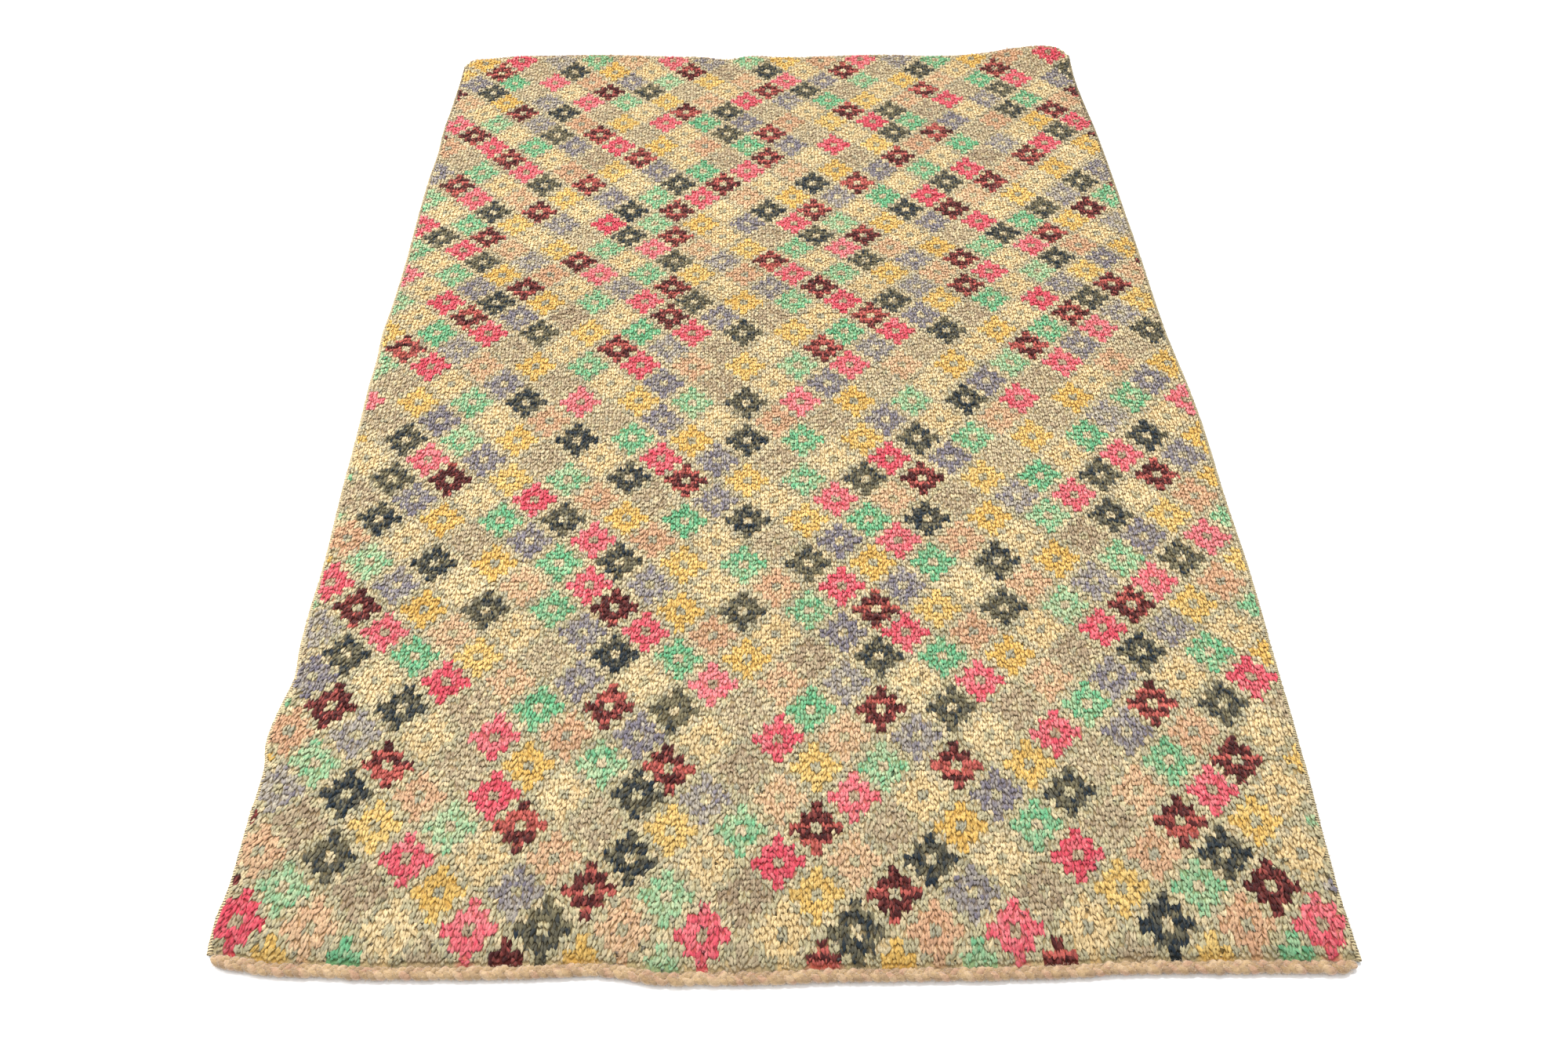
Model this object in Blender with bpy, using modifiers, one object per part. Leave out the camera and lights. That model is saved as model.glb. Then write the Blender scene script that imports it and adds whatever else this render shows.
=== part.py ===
"""A hand-knotted wool pile rug that lies on a floor.

The cloth is one solid: a woven ground with short pile, its four sides as uneven
as on the real rug and its far end curling up off the floor. A thin overcast cord
runs along each side, and a thick cord of plaited warp ends runs along each end.

Metres, +Z up. The origin is on the floor under the middle of the rug, and +Y
points to the end that curls up.
"""

import bmesh
import bpy
import numpy as np

# Driving sizes of the whole rug, over its cords
RUG_WIDTH = 1.230
RUG_LENGTH = 1.950

# Ground weave and pile together, and the rounding of the pile's rims
CLOTH_THICKNESS = 0.012
RIM_ROUND = 0.003
RIM_STEPS = 2

# The cords that finish the edges, and the gap that parts neighbouring solids
SIDE_CORD_DIAMETER = 0.008
END_CORD_DIAMETER = 0.0115
CORD_SIDES = 8
GAP = 0.0003

# How far a side cord stops short of the corner, clear of the slanting end cord,
# and how far an end cord runs on past the corners of the cloth
CORNER_CLEARANCE = 0.005
END_OVERRUN = 0.005

# How far each long side lies outside its straight line, from front to far end
SIDE_COLUMNS = ("y", "left_out_mm", "right_out_mm")
SIDE_ROWS = (
    (-0.975, 7.0, -10.0),
    (-0.915, 8.0, -11.5),
    (-0.890, 4.5, -11.5),
    (-0.850, 3.5, -10.0),
    (-0.796, 3.5, -7.5),
    (-0.716, 3.0, -2.5),
    (-0.690, 8.0, -2.0),
    (-0.661, 7.0, -0.5),
    (-0.636, 3.5, 0.5),
    (-0.590, -4.0, 1.5),
    (-0.540, -0.5, 3.0),
    (-0.506, 0.5, 4.5),
    (-0.406, -1.0, 7.5),
    (-0.266, 2.0, 7.5),
    (-0.106, 4.0, 9.5),
    (-0.030, 6.0, 7.5),
    (0.044, 5.5, 3.5),
    (0.104, 8.0, 0.5),
    (0.164, 5.5, -0.5),
    (0.284, 3.0, -0.5),
    (0.464, 4.0, -2.5),
    (0.564, 3.0, -3.5),
    (0.640, 0.0, -5.0),
    (0.724, 1.5, -7.5),
    (0.794, -1.5, -11.5),
    (0.870, -3.5, -15.0),
    (0.944, -6.0, -19.5),
    (0.975, -8.0, -22.0),
)

# How far each end lies inside its straight line, and how high the far edge is
# lifted off the floor, from the left side to the right
END_COLUMNS = ("x", "front_in_mm", "far_in_mm", "far_lift_mm")
END_ROWS = (
    (-0.615, 37.0, 13.0, 2.0),
    (-0.595, 29.5, 4.0, 11.0),
    (-0.570, 25.0, 1.5, 11.5),
    (-0.550, 21.0, 0.5, 13.0),
    (-0.500, 18.0, 0.0, 16.5),
    (-0.440, 14.0, 0.0, 17.0),
    (-0.350, 12.0, 0.0, 17.5),
    (-0.280, 11.5, 0.0, 16.0),
    (-0.180, 11.5, 0.0, 12.0),
    (-0.130, 2.0, 0.0, 11.0),
    (-0.080, 1.5, 0.0, 4.5),
    (-0.040, 0.5, 0.0, 11.5),
    (0.040, 2.0, 0.0, 9.0),
    (0.120, 1.5, 0.0, 10.5),
    (0.240, 1.0, 0.0, 12.5),
    (0.320, 3.0, 0.0, 9.5),
    (0.370, 5.0, 0.0, 9.0),
    (0.440, 4.0, 0.0, 14.0),
    (0.520, 3.0, 0.5, 26.5),
    (0.560, 2.0, 2.0, 30.0),
    (0.590, 1.5, 8.0, 28.0),
    (0.615, 5.0, 22.0, 19.0),
)

# The curl of the far end: how far in it starts, and how much it steepens
CURL_RUN_LEVEL = 0.060
CURL_RUN_PER_LIFT = 2.0
CURL_POWER = 2.2

# The cloth's grid: even rows up to the curl, then closer ones, and columns that
# crowd towards the two sides, where the corners are rounded
COLUMNS = 40
ROWS_FLAT = 44
ROWS_CURL = 9
CURL_START = 0.850
CROWDING = 0.22

# Colour, roughness and metallic value of each finish
FINISHES = {
    "pile": ((0.42, 0.38, 0.27), 0.95, 0.0),
    "selvage": ((0.30, 0.24, 0.17), 0.90, 0.0),
    "warp_cord": ((0.50, 0.37, 0.23), 0.90, 0.0),
}


def table(columns, rows):
    """The rows as one array for each column, with lengths in metres."""
    values = np.array(rows)
    return {
        name: values[:, i] / (1000 if name.endswith("_mm") else 1)
        for i, name in enumerate(columns)
    }


SIDES = table(SIDE_COLUMNS, SIDE_ROWS)
ENDS = table(END_COLUMNS, END_ROWS)
HALF_WIDTH = RUG_WIDTH / 2 - SIDE_CORD_DIAMETER - GAP
HALF_LENGTH = RUG_LENGTH / 2 - END_CORD_DIAMETER - GAP


def flowing(places, values, at):
    """A smooth curve through the values at these places, read at one place."""
    at = min(max(at, places[0]), places[-1])
    i = min(int(np.searchsorted(places, at, side="right")) - 1, len(places) - 2)
    slopes = np.gradient(values, places)
    span = places[i + 1] - places[i]
    t = (at - places[i]) / span
    return (
        (1 + 2 * t) * (1 - t) ** 2 * values[i]
        + t * t * (3 - 2 * t) * values[i + 1]
        + t * (1 - t) ** 2 * span * slopes[i]
        - t * t * (1 - t) * span * slopes[i + 1]
    )


def on_cloth(u, v):
    """The underside of the cloth at u across and v along it, both from -1 to 1."""
    straight = np.array([u * HALF_WIDTH, v * HALF_LENGTH])
    left = -HALF_WIDTH - flowing(SIDES["y"], SIDES["left_out_mm"], straight[1])
    right = HALF_WIDTH + flowing(SIDES["y"], SIDES["right_out_mm"], straight[1])
    front = -HALF_LENGTH + flowing(ENDS["x"], ENDS["front_in_mm"], straight[0])
    far = HALF_LENGTH - flowing(ENDS["x"], ENDS["far_in_mm"], straight[0])
    x = left + (right - left) * (u + 1) / 2
    y = front + (far - front) * (v + 1) / 2
    lift = flowing(ENDS["x"], ENDS["far_lift_mm"], straight[0])
    run = CURL_RUN_LEVEL + CURL_RUN_PER_LIFT * lift
    into_curl = max(0.0, 1 - (far - y) / run)
    return np.array([x, y, lift * into_curl**CURL_POWER])


def cloth_rows():
    """The places along the cloth, from -1 to 1, of the grid's rows."""
    start = CURL_START / HALF_LENGTH
    flat = np.linspace(-1, start, ROWS_FLAT + 1)
    return [*flat, *np.linspace(start, 1, ROWS_CURL + 1)[1:]]


def cloth_columns():
    """The places across the cloth, from -1 to 1, of the grid's columns."""
    even = np.linspace(-1, 1, COLUMNS + 1)
    return list(even * (1 + CROWDING * (1 - even**2)))


def finish(name):
    """A plain Principled material with the colour and roughness of one finish."""
    colour, roughness, metallic = FINISHES[name]
    material = bpy.data.materials.new(name)
    material.use_nodes = True
    shader = material.node_tree.nodes["Principled BSDF"]
    shader.inputs["Base Color"].default_value = (*colour, 1.0)
    shader.inputs["Roughness"].default_value = roughness
    shader.inputs["Metallic"].default_value = metallic
    return material


def placed(name, data, material, collection, parent):
    """A named object with this shape, under the rug's own empty."""
    piece = bpy.data.objects.new(name, data)
    data.materials.append(material)
    collection.objects.link(piece)
    piece.parent = parent
    return piece


def make_cloth(material, collection, parent):
    """Ground weave and pile: an uneven sheet given its thickness upwards."""
    columns = cloth_columns()
    rows = cloth_rows()
    grid = bmesh.new()
    bmesh.ops.create_grid(
        grid, x_segments=len(columns) - 1, y_segments=len(rows) - 1, size=1.0
    )
    for point in grid.verts:
        column = round((point.co.x + 1) / 2 * (len(columns) - 1))
        row = round((point.co.y + 1) / 2 * (len(rows) - 1))
        point.co = on_cloth(columns[column], rows[row])
    mesh = bpy.data.meshes.new("rug_body")
    grid.to_mesh(mesh)
    grid.free()
    mesh.shade_smooth()
    cloth = placed("rug_body", mesh, material, collection, parent)
    thickness = cloth.modifiers.new("pile height", "SOLIDIFY")
    thickness.thickness = CLOTH_THICKNESS
    thickness.offset = 1.0
    rims = cloth.modifiers.new("rounded rims", "BEVEL")
    rims.limit_method = "ANGLE"
    rims.angle_limit = np.radians(50)
    rims.width = RIM_ROUND
    rims.segments = RIM_STEPS
    return cloth


def unit(vector):
    return vector / np.linalg.norm(vector)


def beside(edge, inner, radius):
    """A cord's centre line: its radius and a gap outside an edge of the cloth,
    and its radius above the cloth's underside. The points of inner lie a little
    inside the edge, one for each of the edge's own points."""
    line = []
    along = np.gradient(edge, axis=0)
    for point, direction, inside in zip(edge, along, inner):
        direction = unit(direction)
        outward = point - inside
        outward = unit(outward - direction * np.dot(outward, direction))
        up = np.cross(direction, outward)
        up = up if up[2] > 0 else -up
        line.append(point + outward * (radius + GAP) + up * radius)
    return line


def longer(line, extra):
    """The line with each end moved on, in its own direction."""
    first = line[0] + unit(line[0] - line[1]) * extra
    last = line[-1] + unit(line[-1] - line[-2]) * extra
    return [first, *line, last]


def make_cord(name, line, diameter, material, collection, parent):
    """A round cord along a line of points, with closed ends."""
    curve = bpy.data.curves.new(name, "CURVE")
    curve.dimensions = "3D"
    curve.bevel_depth = diameter / 2
    curve.bevel_resolution = (CORD_SIDES - 4) // 2
    curve.use_fill_caps = True
    spline = curve.splines.new("POLY")
    spline.points.add(len(line) - 1)
    for point, place in zip(spline.points, line):
        point.co = (*place, 1.0)
    return placed(name, curve, material, collection, parent)


def side_line(side):
    """The line of the overcast cord along the left (-1) or right (1) side, which
    stops just short of the two end cords."""
    rows = cloth_rows()
    step = 0.01
    edge = [on_cloth(side, v) for v in rows]
    inner = [on_cloth(side * (1 - step), v) for v in rows]
    line = beside(edge, inner, SIDE_CORD_DIAMETER / 2)
    for end, neighbour in ((0, 1), (-1, -2)):
        line[end] = line[end] + unit(line[neighbour] - line[end]) * CORNER_CLEARANCE
    return line


def end_line(end):
    """The line of the plaited cord along the front (-1) or far (1) end, which
    runs on past the corners of the cloth, as far as the side cords reach."""
    columns = cloth_columns()
    step = 0.003
    edge = [on_cloth(u, end) for u in columns]
    inner = [on_cloth(u, end * (1 - step)) for u in columns]
    line = beside(edge, inner, END_CORD_DIAMETER / 2)
    return longer(line, END_OVERRUN)


def main():
    for old in list(bpy.data.objects):
        bpy.data.objects.remove(old)
    collection = bpy.data.collections.new("rug")
    bpy.context.scene.collection.children.link(collection)

    lines = {
        "selvage_left": (side_line(-1), SIDE_CORD_DIAMETER, "selvage"),
        "selvage_right": (side_line(1), SIDE_CORD_DIAMETER, "selvage"),
        "end_cord_front": (end_line(-1), END_CORD_DIAMETER, "warp_cord"),
        "end_cord_back": (end_line(1), END_CORD_DIAMETER, "warp_cord"),
    }
    finishes = {name: finish(name) for name in FINISHES}

    # The uneven outline is centred over the origin
    lowest = np.min([np.min(line, 0) - d / 2 for line, d, _ in lines.values()], 0)
    highest = np.max([np.max(line, 0) + d / 2 for line, d, _ in lines.values()], 0)
    middle = (lowest + highest) / 2
    rug = bpy.data.objects.new("rug", None)
    rug.location = (-middle[0], -middle[1], 0.0)
    collection.objects.link(rug)

    make_cloth(finishes["pile"], collection, rug)
    for name, (line, diameter, slot) in lines.items():
        make_cord(name, line, diameter, finishes[slot], collection, rug)


main()
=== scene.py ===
import bmesh
import bpy
import numpy as np
from mathutils import Matrix


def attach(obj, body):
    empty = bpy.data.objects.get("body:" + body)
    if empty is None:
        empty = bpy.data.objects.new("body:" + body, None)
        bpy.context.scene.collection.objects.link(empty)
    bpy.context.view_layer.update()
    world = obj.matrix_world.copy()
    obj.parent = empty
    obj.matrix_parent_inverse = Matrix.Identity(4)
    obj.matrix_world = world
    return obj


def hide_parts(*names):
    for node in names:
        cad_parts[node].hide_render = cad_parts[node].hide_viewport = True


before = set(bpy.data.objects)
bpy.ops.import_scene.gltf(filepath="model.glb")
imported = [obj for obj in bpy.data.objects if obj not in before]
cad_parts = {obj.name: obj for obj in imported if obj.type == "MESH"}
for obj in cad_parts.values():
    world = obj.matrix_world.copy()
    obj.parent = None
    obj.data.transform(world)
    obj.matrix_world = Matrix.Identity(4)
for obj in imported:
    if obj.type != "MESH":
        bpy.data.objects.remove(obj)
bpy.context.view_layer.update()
nodes = sorted(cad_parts)
print("solids:", nodes)

MM = 0.001
chance = np.random.default_rng(12)

# %% [markdown]
# The camera comes early, so that every later step can be looked at from the right
# place. It stands near the front end at about breast height and looks down at the
# rug by some 46 degrees, through a moderately wide lens, which is why the sides of
# the rug run together so strongly.
# %% Camera
CAMERA_PLACE = (-0.0215, -1.6346, 1.397)
CAMERA_TILT = 43.61
CAMERA_HEADING = -1.07
CAMERA_LENS = 32.1
SENSOR_WIDTH = 36.0

camera = bpy.data.objects.new("camera", bpy.data.cameras.new("camera"))
camera.location = CAMERA_PLACE
camera.rotation_euler = np.radians((CAMERA_TILT, 0.0, CAMERA_HEADING))
camera.data.lens = CAMERA_LENS
camera.data.sensor_width = SENSOR_WIDTH
bpy.context.scene.collection.objects.link(camera)
bpy.context.scene.camera = camera
print("camera", CAMERA_LENS, "mm")

# %% [markdown]
# A hand-made rug is never a true rectangle. Its sides wander by up to a centimetre,
# and its far end curls up off the floor, most of all at the right-hand corner. The
# outline is kept in two short tables, one for the sides and one for the ends, with
# the same values as the solids. A smooth curve runs through each column.
# %% Outline tables
RUG_WIDTH = 1.230
RUG_LENGTH = 1.950
SIDE_CORD_DIAMETER = 0.008
END_CORD_DIAMETER = 0.0115
GAP = 0.0003
HALF_WIDTH = RUG_WIDTH / 2 - SIDE_CORD_DIAMETER - GAP
HALF_LENGTH = RUG_LENGTH / 2 - END_CORD_DIAMETER - GAP

SIDE_COLUMNS = ("y", "left_out_mm", "right_out_mm")
SIDE_ROWS = (
    (-0.975, 7.0, -10.0),
    (-0.915, 8.0, -11.5),
    (-0.890, 4.5, -11.5),
    (-0.850, 3.5, -10.0),
    (-0.796, 3.5, -7.5),
    (-0.716, 3.0, -2.5),
    (-0.690, 8.0, -2.0),
    (-0.661, 7.0, -0.5),
    (-0.636, 3.5, 0.5),
    (-0.590, -4.0, 1.5),
    (-0.540, -0.5, 3.0),
    (-0.506, 0.5, 4.5),
    (-0.406, -1.0, 7.5),
    (-0.266, 2.0, 7.5),
    (-0.106, 4.0, 9.5),
    (-0.030, 6.0, 7.5),
    (0.044, 5.5, 3.5),
    (0.104, 8.0, 0.5),
    (0.164, 5.5, -0.5),
    (0.284, 3.0, -0.5),
    (0.464, 4.0, -2.5),
    (0.564, 3.0, -3.5),
    (0.640, 0.0, -5.0),
    (0.724, 1.5, -7.5),
    (0.794, -1.5, -11.5),
    (0.870, -3.5, -15.0),
    (0.944, -6.0, -19.5),
    (0.975, -8.0, -22.0),
)
END_COLUMNS = ("x", "front_in_mm", "far_in_mm", "far_lift_mm")
END_ROWS = (
    (-0.615, 37.0, 13.0, 2.0),
    (-0.595, 29.5, 4.0, 11.0),
    (-0.570, 25.0, 1.5, 11.5),
    (-0.550, 21.0, 0.5, 13.0),
    (-0.500, 18.0, 0.0, 16.5),
    (-0.440, 14.0, 0.0, 17.0),
    (-0.350, 12.0, 0.0, 17.5),
    (-0.280, 11.5, 0.0, 16.0),
    (-0.180, 11.5, 0.0, 12.0),
    (-0.130, 2.0, 0.0, 11.0),
    (-0.080, 1.5, 0.0, 4.5),
    (-0.040, 0.5, 0.0, 11.5),
    (0.040, 2.0, 0.0, 9.0),
    (0.120, 1.5, 0.0, 10.5),
    (0.240, 1.0, 0.0, 12.5),
    (0.320, 3.0, 0.0, 9.5),
    (0.370, 5.0, 0.0, 9.0),
    (0.440, 4.0, 0.0, 14.0),
    (0.520, 3.0, 0.5, 26.5),
    (0.560, 2.0, 2.0, 30.0),
    (0.590, 1.5, 8.0, 28.0),
    (0.615, 5.0, 22.0, 19.0),
)
CURL_RUN_LEVEL = 0.060
CURL_RUN_PER_LIFT = 2.0
CURL_POWER = 2.2


def table(columns, rows):
    """The rows as one array for each column, with lengths in metres."""
    values = np.array(rows)
    return {
        name: values[:, i] * (MM if name.endswith("_mm") else 1)
        for i, name in enumerate(columns)
    }


SIDES = table(SIDE_COLUMNS, SIDE_ROWS)
ENDS = table(END_COLUMNS, END_ROWS)
print("outline:", len(SIDE_ROWS), "rows for the sides,", len(END_ROWS), "for the ends")

# %% [markdown]
# Everything is laid on one surface, the underside of the cloth. It is a function of
# two numbers, u across the rug and v along it, both from -1 to 1, so that knots,
# weave and cords can each ask where their own place is, and which way is up there.
# %% The surface of the cloth
# How near the middle of the cloth the second point is that shows which way is out
INNER_ACROSS = 0.99
INNER_ALONG = 0.997
LINE_POINTS = 801
SMALL_STEP = 0.002


def flowing(places, values, at):
    """A smooth curve through the values at these places, read at many places."""
    at = np.clip(at, places[0], places[-1])
    i = np.searchsorted(places, at, side="right") - 1
    i = np.clip(i, 0, len(places) - 2)
    slopes = np.gradient(values, places)
    span = places[i + 1] - places[i]
    t = (at - places[i]) / span
    return (
        (1 + 2 * t) * (1 - t) ** 2 * values[i]
        + t * t * (3 - 2 * t) * values[i + 1]
        + t * (1 - t) ** 2 * span * slopes[i]
        - t * t * (1 - t) * span * slopes[i + 1]
    )


def unplaced(u, v):
    """The underside of the cloth at u and v, before the outline is centred."""
    straight_x, straight_y = u * HALF_WIDTH, v * HALF_LENGTH
    left = -HALF_WIDTH - flowing(SIDES["y"], SIDES["left_out_mm"], straight_y)
    right = HALF_WIDTH + flowing(SIDES["y"], SIDES["right_out_mm"], straight_y)
    front = -HALF_LENGTH + flowing(ENDS["x"], ENDS["front_in_mm"], straight_x)
    far = HALF_LENGTH - flowing(ENDS["x"], ENDS["far_in_mm"], straight_x)
    x = left + (right - left) * (u + 1) / 2
    y = front + (far - front) * (v + 1) / 2
    lift = flowing(ENDS["x"], ENDS["far_lift_mm"], straight_x)
    run = CURL_RUN_LEVEL + CURL_RUN_PER_LIFT * lift
    into_curl = np.maximum(0.0, 1 - (far - y) / run)
    return np.stack([x, y, lift * into_curl**CURL_POWER], axis=-1)


def unit(vectors):
    return vectors / np.linalg.norm(vectors, axis=-1, keepdims=True)


def dot(a, b):
    return np.sum(a * b, axis=-1, keepdims=True)


def beside(u, v, radius):
    """A cord's line along an edge of the cloth, and the ways out of it and up."""
    edge = unplaced(u, v)
    inner = unplaced(u * INNER_ACROSS, v) if np.ptp(u) == 0 else unplaced(u, v * INNER_ALONG)
    along = unit(np.gradient(edge, axis=0))
    outward = edge - inner
    outward = unit(outward - along * dot(outward, along))
    up = unit(np.cross(along, outward))
    up = up * np.sign(up[:, 2:3])
    return edge + outward * (radius + GAP) + up * radius, outward, up


FINE = np.linspace(-1, 1, LINE_POINTS)
ONES = np.ones_like(FINE)
edges = {
    "selvage_left": (-ONES, FINE, SIDE_CORD_DIAMETER / 2),
    "selvage_right": (ONES, FINE, SIDE_CORD_DIAMETER / 2),
    "end_cord_front": (FINE, -ONES, END_CORD_DIAMETER / 2),
    "end_cord_back": (FINE, ONES, END_CORD_DIAMETER / 2),
}
lines = {name: beside(u, v, radius)[0] for name, (u, v, radius) in edges.items()}
radii = {name: radius for name, (u, v, radius) in edges.items()}
lowest = np.min([lines[name].min(0) - radii[name] for name in lines], axis=0)
highest = np.max([lines[name].max(0) + radii[name] for name in lines], axis=0)
CENTRE = (lowest + highest) / 2 * (1, 1, 0)
print("outline is centred by", np.round(-CENTRE, 4))


def on_cloth(u, v):
    """The underside of the cloth at u and v, in its final place."""
    return unplaced(u, v) - CENTRE


def ways(u, v):
    """The directions across, along and up out of the cloth at u and v."""
    across = unit(on_cloth(u + SMALL_STEP, v) - on_cloth(u - SMALL_STEP, v))
    along = on_cloth(u, v + SMALL_STEP) - on_cloth(u, v - SMALL_STEP)
    up = unit(np.cross(across, along))
    return across, np.cross(up, across), up


# %% [markdown]
# The pattern is a weaver's chart. Its one motif is a lozenge that steps in and out by
# two knots, with a two-knot hole in its middle, and lozenges stand in rows that
# interlock like bricks. The weaver counts from the middle of the rug, beats some
# rows harder than others, lets the lozenges grow a little wider towards the front,
# and drifts a knot or two to the left. All of that is a few numbers, so the chart is
# worked out and not drawn.
# %% Knots and the size of the repeat
KNOTS_ACROSS = 198
KNOT_ROWS = 289
ROWS_PER_STEP = 6
FIRST_CENTRE = 2
# How many knots a lozenge reaches to each side, in each row away from its middle
STEP_HALVES = np.array([5, 3, 3, 1, 1])

# How far from the far end each lozenge row is, where the beat changes
BEAT_COLUMNS = ("lozenge_row", "from_far_mm")
BEAT_ROWS = (
    (-0.3333, 12.0),
    (0.0, 21.5),
    (1.0, 54.0),
    (3.0, 126.0),
    (5.0, 203.0),
    (7.0, 282.0),
    (9.0, 365.0),
    (11.0, 450.0),
    (13.0, 535.0),
    (15.0, 611.0),
    (18.0, 718.0),
    (21.0, 831.0),
    (24.0, 953.0),
    (27.0, 1078.0),
    (30.0, 1202.0),
    (33.0, 1321.0),
    (36.0, 1443.0),
    (39.0, 1560.0),
    (42.0, 1684.0),
    (45.0, 1808.0),
    (47.0, 1894.0),
    (47.8333, 1938.0),
)
# How many knots there are from one lozenge to the next, and to the middle line
PITCH_COLUMNS = ("lozenge_row", "knots", "aside")
PITCH_ROWS = (
    (0, 12.4, -0.2),
    (4, 12.65, -0.4),
    (8, 12.9, -0.5),
    (14, 13.0, -0.8),
    (24, 13.08, -1.3),
    (30, 13.5, -1.5),
    (35, 13.54, -1.8),
    (41, 13.6, -1.2),
    (48, 13.72, -0.3),
)

BEAT = table(BEAT_COLUMNS, BEAT_ROWS)
PITCH = table(PITCH_COLUMNS, PITCH_ROWS)

knot_column, knot_row = np.meshgrid(np.arange(KNOTS_ACROSS), np.arange(KNOT_ROWS))
knot_column, knot_row = knot_column.ravel(), knot_row.ravel()
knots = len(knot_row)


def row_place(row):
    """v, from -1 to 1, of a knot row that is counted from the far end."""
    lozenge_row = (row - FIRST_CENTRE) / ROWS_PER_STEP
    from_far = flowing(BEAT["lozenge_row"], BEAT["from_far_mm"], lozenge_row)
    first, last = BEAT["from_far_mm"][[0, -1]]
    return 1 - 2 * (from_far - first) / (last - first)


knot_u = -1 + 2 * (knot_column + 0.5) / KNOTS_ACROSS
knot_v = row_place(knot_row + 0.5)
print("knots:", knots, "in", KNOT_ROWS, "rows")

# %% [markdown]
# Each row of lozenges repeats a short word of three to five yarns, and the weaver
# makes up the next word from the one before. Where a word only moves on a place, the
# colours run down the rug in diagonals; where it is turned round, they turn back. So
# the chart is one word for each row, which repeats both ways from the middle line.
# Now and then the weaver swaps or misses a lozenge, most often near the sides and the
# ends, and a second short table says where.
# %% The weaver's words
# Each yarn's letter and name, and the colours of its first and second dye lot
YARNS = (
    ("R", "coral", (238, 142, 144), (218, 78, 95)),
    ("G", "gold", (231, 199, 127), (223, 179, 93)),
    ("N", "mint", (187, 203, 160), (105, 177, 129)),
    ("C", "cream", (230, 208, 163), (223, 194, 141)),
    ("P", "peach", (221, 189, 149), (208, 162, 127)),
    ("T", "taupe", (208, 192, 156), (166, 144, 117)),
    ("L", "lavender", (189, 179, 159), (125, 118, 129)),
    ("M", "maroon", (72, 25, 25), (200, 100, 90)),
    ("K", "charcoal", (33, 45, 55), (124, 116, 88)),
    ("S", "sage", (220, 200, 158), (174, 165, 139)),
    ("B", "grey_green", (196, 184, 144), (162, 157, 135)),
)
LETTERS = [row[0] for row in YARNS]
WORDS = """
GPRLN KCMT RLNGP MKTC LNGPR TCMK PGRNL
MTCK LRGPN MCT PGLNR CKM GLNRP KMC RNGL
TKMC NRPG MCKL RNGP LMC NRKG TCML GNRK
CMLT NRPG CLT RGNK PTLC NGK TCRL NKMG
CRPTL GNK TLRPC KGN PRLC NMGK CLRP TKNG
PLCR NMKT RPLC GNMT PRCLK MTGN RPKC
GLMNT CKPR MGNT
""".split()
# Where the weaver swapped or missed lozenges: the row, the first place from the
# middle line, and the yarns that stand there instead
SLIPS = (
    (0, -8, "GRLN"), (1, -8, "GMTKG"), (2, -8, "LNRP"), (2, 5, "NRL"), (3, 5, "TK"),
    (4, -8, "PGLR"), (4, 7, "P"), (5, 6, "KM"), (7, -7, "M"), (8, -8, "PR"), (26, 7, "R"),
    (28, 5, "NK"), (31, 5, "RC"), (35, 5, "LRP"), (36, 7, "N"), (37, 5, "RLC"),
    (41, 5, "LP"), (42, 3, "GTNMG"), (43, -2, "KL"), (44, 4, "TM"), (45, -5, "RC"),
    (46, 1, "MLTGNML"), (47, -7, "RPCR"), (48, 3, "MT"),
)
# The yarn in the hole of a lozenge, for each yarn round it
HOLES = {
    "R": "T", "G": "B", "N": "T", "C": "B", "P": "B", "T": "S", "L": "S", "M": "S", "K": "S",
}
# More places than a row has, so that each lozenge gets a number of its own
PLACES = 32

letters = np.array(LETTERS)
knot_yarn = np.full(knots, LETTERS.index("S"))
knot_lozenge = np.full(knots, -1)
in_hole = np.full(knots, "")


def yarn_numbers(some_letters):
    """The numbers of the yarns with these letters."""
    return [LETTERS.index(letter) for letter in some_letters]


for row, word in enumerate(WORDS):
    pitch, aside_now = (
        float(flowing(PITCH["lozenge_row"], PITCH[name], np.array(float(row))))
        for name in ("knots", "aside")
    )
    half_step = 0.0 if row % 2 else 0.5
    from_middle = knot_column + 0.5 - KNOTS_ACROSS / 2
    place = np.round((from_middle - aside_now) / pitch - half_step).astype(int)
    aside = np.abs(from_middle - np.round((place + half_step) * pitch + aside_now))
    away = np.abs(knot_row + 0.5 - FIRST_CENTRE - ROWS_PER_STEP * row).astype(int)
    reach = STEP_HALVES[np.minimum(away, len(STEP_HALVES) - 1)]
    inside = (away < len(STEP_HALVES)) & (aside < reach)
    hole = inside & (away < 1) & (aside < 1)
    body = np.array(list(word))[place % len(word)]
    for slip_row, first, slip in SLIPS:
        for i, letter in enumerate(slip if slip_row == row else ""):
            body[place == first + i] = letter
    knot_yarn[inside] = yarn_numbers(body[inside])
    knot_yarn[hole] = yarn_numbers([HOLES[letter] for letter in body[hole]])
    in_hole[hole] = body[hole]
    knot_lozenge[inside] = row * PLACES + place[inside] + PLACES // 2

for i, row in enumerate(YARNS):
    print(row[1], int(np.sum(knot_yarn == i)), "knots")

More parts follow.
